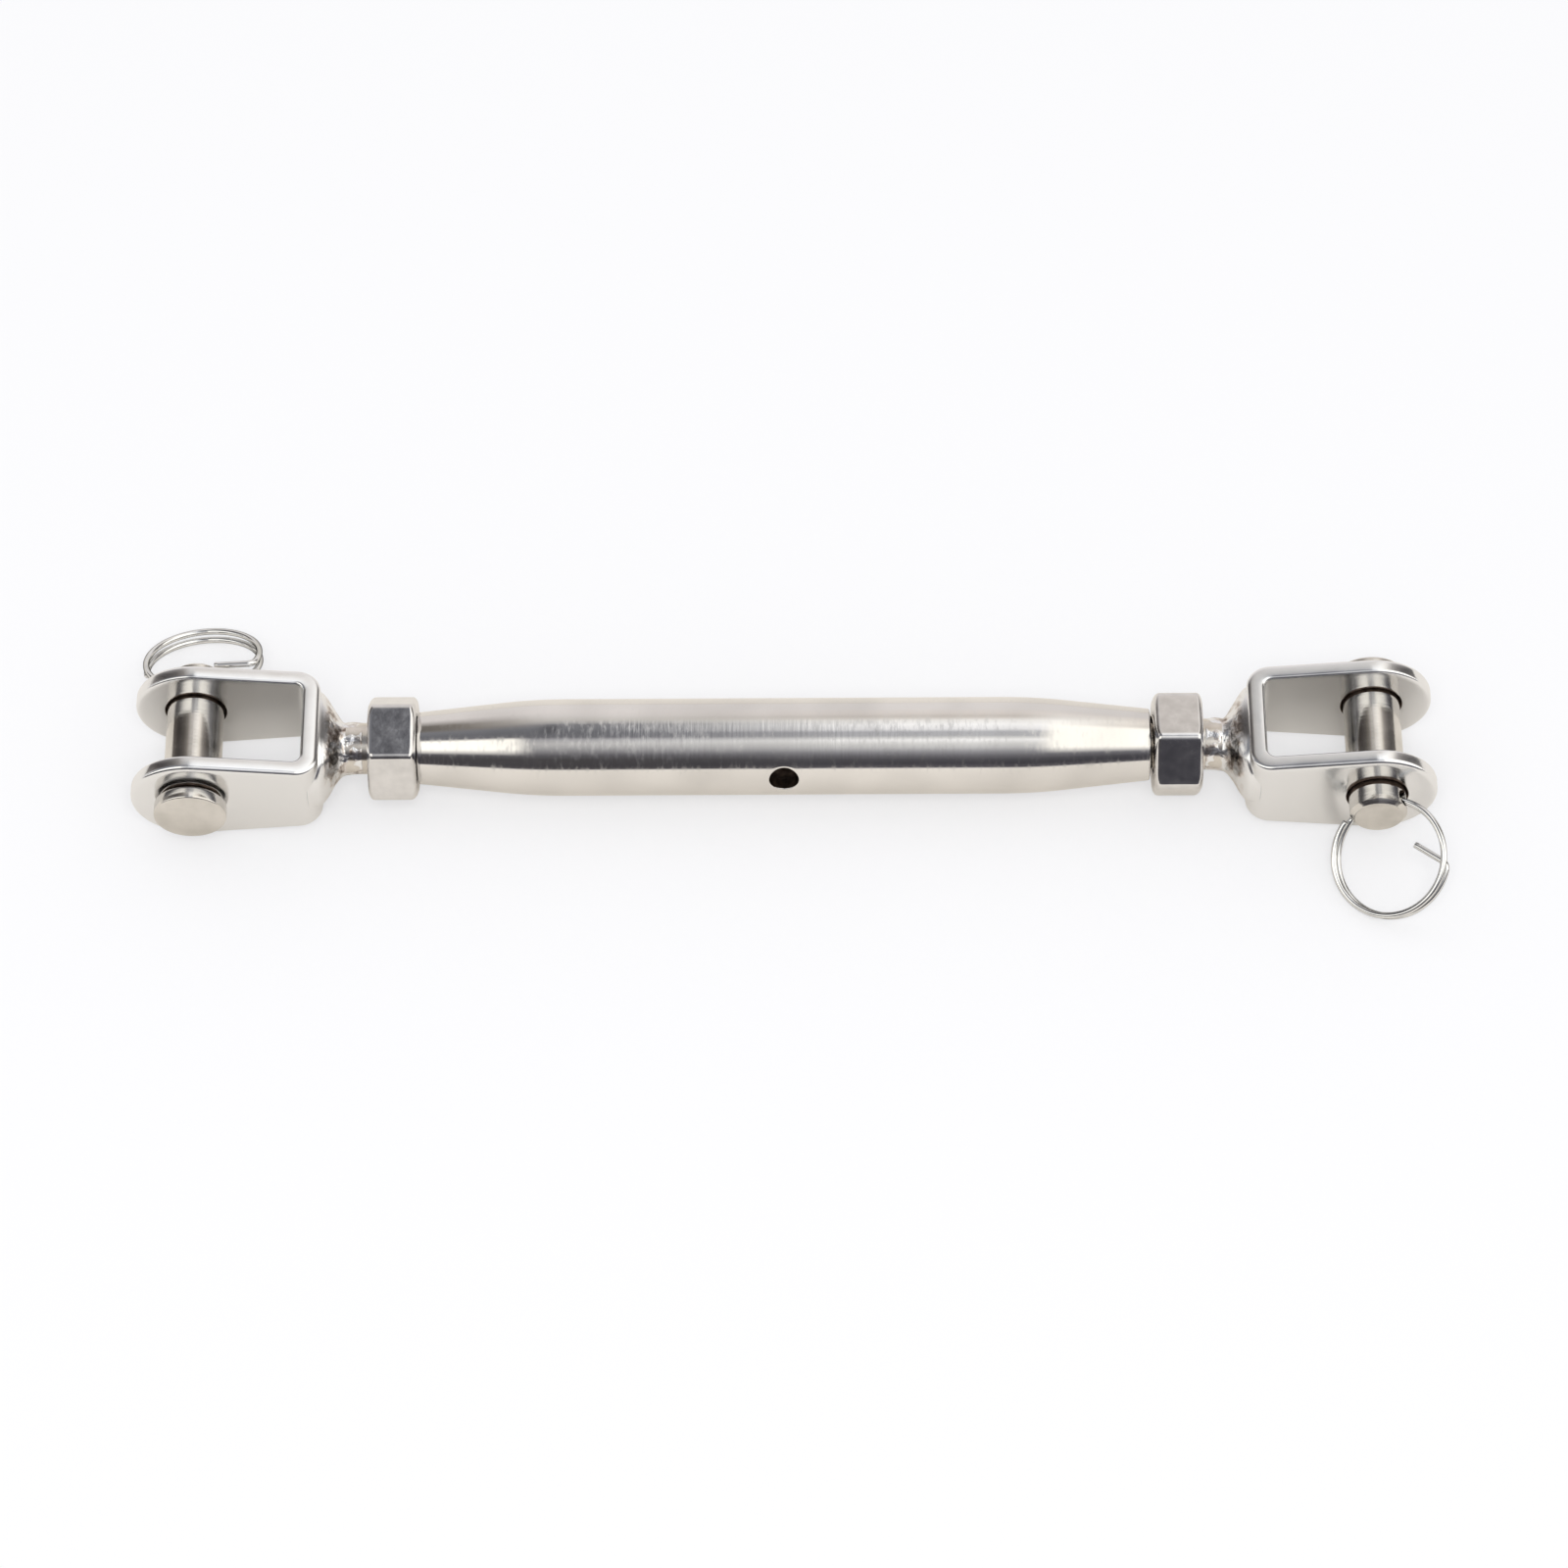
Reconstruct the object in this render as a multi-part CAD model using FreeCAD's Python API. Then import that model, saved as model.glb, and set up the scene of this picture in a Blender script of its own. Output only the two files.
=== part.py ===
import FreeCAD, Part
import math
import os

# Closed body turnbuckle, screwed right in, lying on its two forks.
# X runs along the barrel, -Y is the front and +Z is up. The origin is the middle of the barrel,
# on its axis, where the cross hole passes. Sizes are in millimetres and angles in degrees.

# Thread of both ends, left-handed on the left and right-handed on the right
thread_diameter = 6.0
thread_clearance = 0.05

# Barrel, a tube drawn in to a tapped neck at each end
barrel_length = 75.6
barrel_wall = 1.5
cavity_relief = 0.5
cavity_lead = 1.0
tapped_length = 12.0
end_wall = 0.7
end_break = 0.3
taper_length = 12.0
shoulder_radius = 60.0
bore_lead = 0.3
cross_hole_diameter = 3.0
cross_hole_angle = 12.0

# Lock nut against each end of the barrel
nut_wall = 2.0
nut_thickness = 5.0
nut_corner_break = 0.85
nut_chamfer_angle = 30.0
nut_lead = 0.35
nut_gaps = {"left": 0.05, "right": 0.35}
nut_turn_angles = {"left": 12.0, "right": -5.0}

# Stud, threaded along the part that enters the barrel and plain where it meets the fork
stud_gap = 6.0
stud_lead = 0.7
thread_depth = 0.35
thread_runout = 1.0
shank_length = 2.4

# Fork, a forged strap bent to a U with a flared neck behind its base
neck_length = 2.6
flare_steps = 3
fork_base = 1.8
fork_base_height = 9.6
jaw_gap = 9.5
jaw_depth = 11.45
ear_thickness = 1.68
eye_wall = 3.17
outer_bend = 2.3
inner_bend = 0.9
rim_break = 0.4
inner_rim_break = 0.3

# Clevis pin
pin_diameter = 5.9
pin_clearance = 0.08
head_rim = 0.8
head_thickness = 1.45
head_break = 0.25
pin_play = 0.5
pin_tail = 2.65
pin_chamfer = 0.45
ring_hole_diameter = 1.7
ring_hole_offset = 1.3
pin_spin_angles = {"left": -3.0, "right": 31.0}

# Split ring, one and a half turns of wire with its tail bent inwards
ring_diameter = 12.6
ring_wire = 0.66
ring_pitch = 1.0
ring_sweep_angle = 566.0
ring_tail_angles = {"left": -75.0, "right": 118.0}
tail_length = 4.6
tail_turn_angle = 73.0
tail_bend = 0.9
coil_step_angle = 15.0
bend_steps = 3
wire_sides = 12

# Worked out from the sizes above
sides = {"left": -1, "right": 1}
thread_radius = thread_diameter / 2
tapped_radius = thread_radius + thread_clearance
cavity_radius = thread_radius + cavity_relief
barrel_radius = cavity_radius + barrel_wall
barrel_end_radius = thread_radius + end_wall
barrel_half = barrel_length / 2
nut_flat_radius = thread_radius + nut_wall
nut_corner_radius = nut_flat_radius / math.cos(math.pi / 6)
shank_radius = thread_radius - thread_depth
pin_radius = pin_diameter / 2
pin_hole_radius = pin_radius + pin_clearance
eye_radius = pin_hole_radius + eye_wall
fork_half_width = jaw_gap / 2 + ear_thickness
ring_radius = (ring_diameter - ring_wire) / 2
table_height = -eye_radius

X = FreeCAD.Vector(1, 0, 0)
Y = FreeCAD.Vector(0, 1, 0)
Z = FreeCAD.Vector(0, 0, 1)
ORIGIN = FreeCAD.Vector(0, 0, 0)

# How a swept section passes a corner of its path: cut at the corner's own plane
mitred = 1


def end_places(side):
    """Distances from the barrel's middle to the nut, the neck and the jaw at one end."""
    nut_start = barrel_half + nut_gaps[side]
    nut_end = nut_start + nut_thickness
    neck_start = barrel_half + nut_thickness + shank_length
    base_start = neck_start + neck_length
    jaw_start = base_start + fork_base
    return {
        "nut_start": nut_start,
        "nut_end": nut_end,
        "neck_start": neck_start,
        "base_start": base_start,
        "jaw_start": jaw_start,
        "pin_centre": jaw_start + jaw_depth,
    }


def turned(points):
    """The solid that a closed outline of (distance along X, radius) points sweeps about X."""
    corners = [FreeCAD.Vector(x, 0, r) for x, r in points]
    face = Part.Face(Part.makePolygon(corners + corners[:1]))
    return face.revolve(ORIGIN, X, 360)


def facing(shape, side):
    """A shape drawn at the right-hand end, turned half round Z where the left end needs it."""
    if side == "left":
        shape.rotate(ORIGIN, Z, 180)
    return shape


def edges_where(shape, wanted):
    return [edge for edge in shape.Edges if wanted(edge)]


def barrel_outline():
    """Half section of the barrel as edges, from the middle of the cavity round to the outside."""
    slope = math.atan2(barrel_radius - barrel_end_radius, taper_length)
    reach = shoulder_radius * math.tan(slope / 2)
    shoulder = barrel_half - taper_length
    blend_start = FreeCAD.Vector(shoulder - reach, 0, barrel_radius)
    blend_middle = FreeCAD.Vector(
        shoulder - reach + shoulder_radius * math.sin(slope / 2),
        0,
        barrel_radius - shoulder_radius * (1 - math.cos(slope / 2)),
    )
    blend_end = FreeCAD.Vector(
        shoulder + reach * math.cos(slope), 0, barrel_radius - reach * math.sin(slope)
    )
    inside = [
        FreeCAD.Vector(0, 0, cavity_radius),
        FreeCAD.Vector(barrel_half - tapped_length - cavity_lead, 0, cavity_radius),
        FreeCAD.Vector(barrel_half - tapped_length, 0, tapped_radius),
        FreeCAD.Vector(barrel_half - bore_lead, 0, tapped_radius),
        FreeCAD.Vector(barrel_half, 0, tapped_radius + bore_lead),
        FreeCAD.Vector(barrel_half, 0, barrel_end_radius - end_break),
        FreeCAD.Vector(barrel_half - end_break, 0, barrel_end_radius + end_break * math.tan(slope)),
        blend_end,
    ]
    edges = [Part.makeLine(a, b) for a, b in zip(inside, inside[1:])]
    edges.append(Part.Arc(blend_end, blend_middle, blend_start).toShape())
    edges.append(Part.makeLine(blend_start, FreeCAD.Vector(0, 0, barrel_radius)))
    return edges


def make_barrel():
    """Tube with drawn-in, tapped ends and a hole straight through its middle."""
    half = barrel_outline()
    other = [edge.mirror(ORIGIN, X) for edge in half]
    outline = Part.Wire(Part.__sortEdges__(half + other))
    body = Part.Face(outline).revolve(ORIGIN, X, 360)
    rise = math.radians(cross_hole_angle)
    along = FreeCAD.Vector(0, -math.cos(rise), math.sin(rise))
    drill = Part.makeCylinder(
        cross_hole_diameter / 2, 4 * barrel_radius, along * (-2 * barrel_radius), along
    )
    return body.cut(drill)


def make_nut(side):
    """Hexagon nut with both faces chamfered and a countersunk bore."""
    places = end_places(side)
    start = places["nut_start"]
    end = places["nut_end"]
    corners = [
        FreeCAD.Vector(
            start,
            nut_corner_radius * math.sin(math.radians(60 * k + 30)),
            nut_corner_radius * math.cos(math.radians(60 * k + 30)),
        )
        for k in range(6)
    ]
    hexagon = Part.Face(Part.makePolygon(corners + corners[:1])).extrude(X * nut_thickness)
    face_radius = nut_corner_radius - nut_corner_break
    drop = nut_corner_break * math.tan(math.radians(nut_chamfer_angle))
    chamfered = turned(
        [
            (start, 0),
            (start, face_radius),
            (start + drop, nut_corner_radius),
            (end - drop, nut_corner_radius),
            (end, face_radius),
            (end, 0),
        ]
    )
    bore = turned(
        [
            (start, 0),
            (start, tapped_radius + nut_lead),
            (start + nut_lead, tapped_radius),
            (end - nut_lead, tapped_radius),
            (end, tapped_radius + nut_lead),
            (end, 0),
        ]
    )
    nut = hexagon.common(chamfered).cut(bore)
    nut = facing(nut, side)
    nut.rotate(ORIGIN, X, nut_turn_angles[side])
    return nut


def make_stud(side):
    """Threaded rod from inside the barrel to the fork's neck, plain from the nut outwards."""
    places = end_places(side)
    inner = stud_gap / 2
    plain = places["neck_start"] - shank_length - thread_runout
    stud = turned(
        [
            (inner, 0),
            (inner, thread_radius - stud_lead),
            (inner + stud_lead, thread_radius),
            (plain - thread_depth, thread_radius),
            (plain, shank_radius),
            (places["neck_start"], shank_radius),
            (places["neck_start"], 0),
        ]
    )
    return facing(stud, side)


def make_neck(places):
    """Trumpet that opens from the stud's shank to the back of the fork's base."""
    start = places["neck_start"]
    base = places["base_start"]
    rise = fork_base_height / 2 - rim_break - shank_radius
    flare = (neck_length**2 + rise**2) / (2 * rise)
    sweep = math.asin(neck_length / flare)
    if rise > flare:
        sweep = math.pi - sweep
    outline = []
    for k in range(flare_steps + 1):
        angle = sweep * k / flare_steps
        outline.append(
            (start + flare * math.sin(angle), shank_radius + flare * (1 - math.cos(angle)))
        )
    sunk = base + fork_base / 2
    return turned(outline + [(sunk, shank_radius + rise), (sunk, 0), (start, 0)])


def fork_side_view(places):
    """Outline of the strap seen from the front: a round eye with straight edges to the base."""
    half_base = fork_base_height / 2
    base_x = places["base_start"]
    eye_x = places["pin_centre"]
    span = math.hypot(eye_x - base_x, half_base)
    lean = math.asin(eye_radius / span) - math.atan2(half_base, eye_x - base_x)
    touch = FreeCAD.Vector(eye_x - eye_radius * math.sin(lean), 0, eye_radius * math.cos(lean))
    below = FreeCAD.Vector(touch.x, 0, -touch.z)
    top = FreeCAD.Vector(base_x, 0, half_base)
    bottom = FreeCAD.Vector(base_x, 0, -half_base)
    tip = FreeCAD.Vector(eye_x + eye_radius, 0, 0)
    edges = [
        Part.makeLine(bottom, top),
        Part.makeLine(top, touch),
        Part.Arc(touch, tip, below).toShape(),
        Part.makeLine(below, bottom),
    ]
    return Part.Face(Part.Wire(edges))


def make_fork(side):
    """Strap bent to a U, with rounded rims, a flared neck and one pin hole through both ears."""
    places = end_places(side)
    base_x = places["base_start"]
    jaw_x = places["jaw_start"]
    reach = places["pin_centre"] + 2 * eye_radius
    block = Part.makeBox(
        reach - base_x,
        2 * fork_half_width,
        4 * eye_radius,
        FreeCAD.Vector(base_x, -fork_half_width, -2 * eye_radius),
    )
    bends = edges_where(
        block,
        lambda edge: edge.BoundBox.ZLength > 2 * eye_radius
        and abs(edge.BoundBox.XMax - base_x) < ear_thickness / 10,
    )
    block = block.makeFillet(outer_bend, bends)
    jaw = Part.makeBox(
        reach - jaw_x,
        jaw_gap,
        4 * eye_radius,
        FreeCAD.Vector(jaw_x, -jaw_gap / 2, -2 * eye_radius),
    )
    roots = edges_where(
        jaw,
        lambda edge: edge.BoundBox.ZLength > 2 * eye_radius
        and abs(edge.BoundBox.XMax - jaw_x) < ear_thickness / 10,
    )
    jaw = jaw.makeFillet(inner_bend, roots)
    view = fork_side_view(places)
    view.translate(Y * (-fork_half_width))
    strap = block.cut(jaw).common(view.extrude(Y * (2 * fork_half_width)))
    strap = break_rims(strap)
    fork = strap.fuse(make_neck(places)).removeSplitter()
    hole = Part.makeCylinder(
        pin_hole_radius,
        4 * fork_half_width,
        FreeCAD.Vector(places["pin_centre"], -2 * fork_half_width, 0),
        Y,
    )
    return facing(fork.cut(hole), side)


def is_rim(edge, half_gap):
    """Whether an edge of the strap lies flat on an ear's face, this far from the middle."""
    box = edge.BoundBox
    near = ear_thickness / 1000
    return abs(abs(box.YMin) - half_gap) < near and box.YLength < near


def break_rims(strap):
    """The strap with the edges of its outer and inner faces taken off."""
    outer = edges_where(strap, lambda edge: is_rim(edge, fork_half_width))
    strap = strap.makeChamfer(rim_break, outer)
    inner = edges_where(strap, lambda edge: is_rim(edge, jaw_gap / 2))
    return strap.makeChamfer(inner_rim_break, inner)


def make_pin(side):
    """Headed pin through both ears, with a cross hole near its free end for the ring."""
    places = end_places(side)
    head_face = fork_half_width + pin_play
    tip = -(fork_half_width + pin_tail)
    head_radius = pin_radius + head_rim
    pin = turned(
        [
            (tip, 0),
            (tip, pin_radius - pin_chamfer),
            (tip + pin_chamfer, pin_radius),
            (head_face, pin_radius),
            (head_face, head_radius - head_break),
            (head_face + head_break, head_radius),
            (head_face + head_thickness - head_break, head_radius),
            (head_face + head_thickness, head_radius - head_break),
            (head_face + head_thickness, 0),
        ]
    )
    pin.rotate(ORIGIN, Z, 90)
    spin = math.radians(pin_spin_angles[side])
    along = FreeCAD.Vector(math.cos(spin), 0, math.sin(spin))
    hole_y = -(fork_half_width + ring_hole_offset)
    drill = Part.makeCylinder(
        ring_hole_diameter / 2,
        4 * pin_radius,
        FreeCAD.Vector(0, hole_y, 0) - along * (2 * pin_radius),
        along,
    )
    pin = pin.cut(drill)
    pin.translate(X * places["pin_centre"])
    return facing(pin, side)


def ring_points(side, lean):
    """Centre line of the ring, from the tip of its tail to its free end, at one lean."""
    spin = math.radians(pin_spin_angles[side])
    along = FreeCAD.Vector(math.cos(spin), 0, math.sin(spin))
    outward = FreeCAD.Vector(
        math.sin(spin) * math.sin(lean), -math.cos(lean), -math.cos(spin) * math.sin(lean)
    )
    across = along.cross(outward)
    half_bow = (ring_radius - math.sqrt(ring_radius**2 - pin_radius**2)) / 2
    hole = FreeCAD.Vector(
        end_places(side)["pin_centre"], -(fork_half_width + ring_hole_offset), 0
    )
    centre = hole + outward * (ring_radius - half_bow)
    way = 1 if ring_tail_angles[side] > 0 else -1

    def on_coil(degrees):
        angle = math.radians(degrees)
        rim = along * (way * math.sin(angle)) - outward * math.cos(angle)
        offset = -way * ring_pitch * (degrees - 360) / 360
        return centre + rim * ring_radius + across * offset

    start = abs(ring_tail_angles[side])
    angle = math.radians(start)
    radial = along * (way * math.sin(angle)) - outward * math.cos(angle)
    back = -(along * (way * math.cos(angle)) + outward * math.sin(angle))
    bend_centre = on_coil(start) - radial * tail_bend
    bend = []
    for k in range(bend_steps):
        turn = math.radians(tail_turn_angle) * (1 - k / bend_steps)
        inside = radial * math.cos(turn) + back * math.sin(turn)
        bend.append(bend_centre + inside * tail_bend)
    turn = math.radians(tail_turn_angle)
    inward = back * math.cos(turn) - radial * math.sin(turn)
    straight = tail_length - tail_bend * turn
    tail = [bend[0] + inward * straight]
    steps = round(ring_sweep_angle / coil_step_angle)
    coil = [on_coil(start + ring_sweep_angle * k / steps) for k in range(steps + 1)]
    return tail + bend + coil


def resting_lean(side):
    """Lean at which the ring, hanging from the pin's hole, just touches the table."""
    low = 0.0
    high = math.pi / 2
    for _ in range(40):
        middle = (low + high) / 2
        lowest = min(point.z for point in ring_points(side, middle)) - ring_wire / 2
        if lowest < table_height:
            high = middle
        else:
            low = middle
    return low


def make_ring(side):
    """Round wire swept along the coil and its bent tail, in short straight lengths."""
    points = ring_points(side, resting_lean(side))
    path = Part.makePolygon(points)
    circle = Part.makeCircle(ring_wire / 2, points[0], points[1] - points[0])
    corners = circle.discretize(wire_sides + 1)
    section = Part.makePolygon(corners[:-1] + corners[:1])
    return facing(path.makePipeShell([section], True, False, mitred), side)


def save(name, shape):
    shape.exportStep(os.path.join("parts", name + ".step"))


os.makedirs("parts", exist_ok=True)
save("barrel", make_barrel())
for side in sides:
    save(side + "_lock_nut", make_nut(side))
    save(side + "_stud", make_stud(side))
    save(side + "_fork", make_fork(side))
    save(side + "_clevis_pin", make_pin(side))
    save(side + "_split_ring", make_ring(side))
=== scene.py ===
import math

import bmesh
import bpy
from mathutils import Matrix, Vector, noise


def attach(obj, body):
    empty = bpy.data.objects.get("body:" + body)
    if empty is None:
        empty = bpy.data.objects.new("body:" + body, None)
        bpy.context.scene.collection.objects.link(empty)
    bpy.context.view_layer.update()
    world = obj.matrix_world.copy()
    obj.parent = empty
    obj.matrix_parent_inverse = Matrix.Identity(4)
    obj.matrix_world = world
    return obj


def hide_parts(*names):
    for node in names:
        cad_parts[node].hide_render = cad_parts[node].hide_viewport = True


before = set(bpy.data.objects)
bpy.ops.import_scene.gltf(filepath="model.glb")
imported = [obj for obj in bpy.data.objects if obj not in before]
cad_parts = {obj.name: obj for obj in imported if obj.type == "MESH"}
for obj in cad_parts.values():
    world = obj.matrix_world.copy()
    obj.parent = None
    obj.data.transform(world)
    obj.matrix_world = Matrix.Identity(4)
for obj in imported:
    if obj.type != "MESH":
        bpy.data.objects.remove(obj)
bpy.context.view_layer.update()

# Barrel, the closed body. A stainless tube drawn in to a tapped neck at each end, then polished on a
# wheel to a mirror. One hole goes straight through its middle for the rod that holds it while the
# forks are screwed in or out.
MILLIMETRE = 0.001
BARREL_HALF = 37.8
BARREL_RADIUS = 5.0
BARREL_END_RADIUS = 3.7
CAVITY_RADIUS = 3.5
BORE_RADIUS = 3.05
TAPER_LENGTH = 12.0
SHOULDER_RADIUS = 60.0
TAPPED_LENGTH = 12.0
BORE_LEAD = 0.3
CROSS_HOLE_RADIUS = 1.5
CROSS_HOLE_ANGLE = 12.0
THREAD_PITCH = 1.0
BORE_THREAD_DEPTH = 0.3
BARREL_COLUMNS = 120
WINDOW_COLUMNS = 24
SHOULDER_STEPS = 14
END_EASE = 0.22
OUTER_HOLE_RIM = 0.16
INNER_HOLE_RIM = 0.06
HOLE_FIELD_STEPS = 8
HOLE_FIELD_POWER = 0.8
HOLE_RIM_STEPS = 4
DRAWN_BORE_THREADS = 6
THREAD_FADE_ROWS = 4

# A thread's ridge over one pitch: from its middle to the root, its flank, and how round the flank is
RIDGE_TO_ROOT = 0.44
RIDGE_FLANK = 0.36
RIDGE_ROUNDNESS = 0.35


def linear(code):
    """An sRGB hex colour as the linear values that a shader's socket takes."""
    parts = [int(code[i:i + 2], 16) / 255 for i in (1, 3, 5)]
    return [c / 12.92 if c <= 0.04045 else ((c + 0.055) / 1.055) ** 2.4 for c in parts] + [1.0]


def add(tree, kind, inputs=None, **settings):
    """A new node in a tree. inputs gives its sockets a value, or another node's output to follow."""
    made = tree.nodes.new(kind)
    for name, value in settings.items():
        setattr(made, name, value)
    for name, value in (inputs or {}).items():
        if isinstance(value, bpy.types.NodeSocket):
            tree.links.new(value, made.inputs[name])
        else:
            made.inputs[name].default_value = value
    return made


def colours(tree, value, stops):
    """A colour that follows a value, from (place, hex colour) pairs."""
    ramp = add(tree, "ShaderNodeValToRGB", {"Fac": value})
    elements = ramp.color_ramp.elements
    while len(elements) < len(stops):
        elements.new(0.5)
    for element, (place, code) in zip(elements, stops):
        element.position = place
        element.color = linear(code)
    return ramp.outputs["Color"]


def spread(tree, value, low, high, to_low=0.0, to_high=1.0):
    """A value that goes from to_low to to_high while another goes from low to high, and stops there."""
    inputs = {"Value": value, "From Min": low, "From Max": high, "To Min": to_low, "To Max": to_high}
    return add(tree, "ShaderNodeMapRange", inputs).outputs["Result"]


def times(tree, a, b):
    """The product of two values."""
    return add(tree, "ShaderNodeMath", {0: a, 1: b}, operation="MULTIPLY").outputs["Value"]


def mottle(tree, where, scale, detail, roughness=0.5):
    """Soft noise, with so many waves to the metre."""
    inputs = {"Vector": where, "Scale": scale, "Detail": detail, "Roughness": roughness}
    return add(tree, "ShaderNodeTexNoise", inputs).outputs["Fac"]


def relief(tree, height, strength, distance, under=None):
    """The normal of a fine relief, distance metres deep, laid over another one if there is one."""
    inputs = {"Height": height, "Strength": strength, "Distance": distance}
    if under:
        inputs["Normal"] = under
    return add(tree, "ShaderNodeBump", inputs).outputs["Normal"]


def bare_metal(tree, shader, tint, haze, normal):
    """Makes a shader bare metal, with its colour, its roughness and its relief."""
    tree.links.new(tint, shader.inputs["Base Color"])
    tree.links.new(haze, shader.inputs["Roughness"])
    tree.links.new(normal, shader.inputs["Normal"])
    shader.inputs["Metallic"].default_value = 1.0


def new_material(name):
    """A material with its tree and its one shader."""
    made = bpy.data.materials.new(name)
    made.use_nodes = True
    return made, made.node_tree, made.node_tree.nodes["Principled BSDF"]


def eased(outline, ease, steps=3):
    """The outline with each inner corner rounded over, by ease at most, in that many steps."""
    points = [Vector(p) for p in outline]
    result = [points[0]]
    for before, corner, after in zip(points, points[1:], points[2:]):
        back, ahead = before - corner, after - corner
        reach = min(ease, 0.45 * back.length, 0.45 * ahead.length)
        start = corner + back.normalized() * reach
        end = corner + ahead.normalized() * reach
        for k in range(steps + 1):
            t = k / steps
            result.append(start * (1 - t) ** 2 + corner * 2 * t * (1 - t) + end * t ** 2)
    return result + [points[-1]]


def grid(rows, around=True):
    """Rows of points as (points, faces). around joins each row's end to its start."""
    columns = len(rows[0])
    points = [p for row in rows for p in row]
    faces = []
    for i in range(len(rows) - 1):
        below, above = i * columns, (i + 1) * columns
        for j in range(columns if around else columns - 1):
            k = (j + 1) % columns
            faces.append((below + j, below + k, above + k, above + j))
    return points, faces


def ring_of(x, radius, turns):
    """Points at one distance along X, at each of these angles, from +Y towards +Z."""
    return [Vector((x, radius * math.cos(t), radius * math.sin(t))) for t in turns]


def even_turns(count, first=0.0):
    """Angles evenly round a circle."""
    return [first + 2 * math.pi * k / count for k in range(count)]


def window_edge(half_x, half_turn, steps):
    """(x, turn) pairs round a window in a tube's wall, from the middle of its +turn side."""
    line = [2 * k / steps - 1 for k in range(steps)]
    edge = [(half_x * -a, half_turn) for a in line]
    edge += [(-half_x, half_turn * -a) for a in line]
    edge += [(half_x * a, -half_turn) for a in line]
    edge += [(half_x, half_turn * a) for a in line]
    return edge


def tube_with_windows(outline, columns, middle, windows):
    """The grid swept by an outline of (x, radius), left open at each (x, radius, half x, half turn)
    window on both sides of the tube, at the turn called middle and at the one opposite."""
    turns = even_turns(columns, middle)
    points, faces = grid([ring_of(x, r, turns) for x, r in outline])
    kept = []
    for face in faces:
        centre = sum((points[i] for i in face), Vector()) / 4
        radius = math.hypot(centre.y, centre.z)
        turn = (math.atan2(centre.z, centre.y) - middle + math.pi / 2) % math.pi - math.pi / 2
        inside = [
            abs(centre.x - at) < half_x and abs(turn) < half_turn and abs(radius - r) < 0.1 * r
            for at, r, half_x, half_turn in windows
        ]
        if not any(inside):
            kept.append(face)
    return points, kept


def on_tube(x, across, radius, turn):
    """A point of a tube, from its place in the plane that faces the given turn."""
    out = Vector((0, math.cos(turn), math.sin(turn)))
    side = Vector((0, -math.sin(turn), math.cos(turn)))
    return Vector((x, 0, 0)) + out * math.sqrt(radius ** 2 - across ** 2) + side * across


def hole_rows(at, radius, hole, rim, half_x, half_turn, steps, turn, sink=1, offset=0.0):
    """Rows of points from a window's edge in to a round hole, over its eased rim. sink is 1 where the
    rim falls inwards and -1 where it rises, as on the inner wall. offset moves the window along X."""
    edge = window_edge(half_x, half_turn, steps)
    flat = [(x + offset, radius * math.sin(t)) for x, t in edge]
    rows = []
    for k in range(HOLE_FIELD_STEPS + 1):
        share = (k / HOLE_FIELD_STEPS) ** HOLE_FIELD_POWER
        row = []
        for x, across in flat:
            size = math.hypot(x, across)
            lip = (x * (hole + rim) / size, across * (hole + rim) / size)
            px, pa = x + (lip[0] - x) * share, across + (lip[1] - across) * share
            row.append(on_tube(at + px, pa, radius, turn))
        rows.append(row)
    out = Vector((0, math.cos(turn), math.sin(turn)))
    for k in range(1, HOLE_RIM_STEPS + 1):
        bend = math.pi / 2 * k / HOLE_RIM_STEPS
        wide = hole + rim * (1 - math.sin(bend))
        row = []
        for x, across in flat:
            size = math.hypot(x, across)
            point = on_tube(at + x * wide / size, across * wide / size, radius, turn)
            row.append(point - out * (sink * rim * (1 - math.cos(bend))))
        rows.append(row)
    return rows


def thread_shape(phase):
    """Height of a thread's ridge, 0 to 1, over one pitch: a flat top, two flanks and a round root."""
    from_top = abs((phase + 0.5) % 1 - 0.5)
    height = min(1.0, max(0.0, (RIDGE_TO_ROOT - from_top) / RIDGE_FLANK))
    rounded = height * height * (3 - 2 * height)
    return rounded * RIDGE_ROUNDNESS + height * (1 - RIDGE_ROUNDNESS)


def bore_thread(start, end, turns, depth, radius, per_pitch=2 * THREAD_FADE_ROWS):
    """Grid for a threaded bore between two x, cut outwards from its radius and fading at the ends."""
    count = round(abs(end - start) / THREAD_PITCH * per_pitch)
    rows = []
    for k in range(count + 1):
        x = start + (end - start) * k / count
        fade = min(1.0, min(k, count - k) / THREAD_FADE_ROWS)
        row = []
        for t in turns:
            ridge = thread_shape(abs(x) / THREAD_PITCH - math.copysign(1, x) * t / (2 * math.pi))
            r = radius + depth * fade * ridge
            row.append(Vector((x, r * math.cos(t), r * math.sin(t))))
        rows.append(row)
    return grid(rows)


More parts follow.
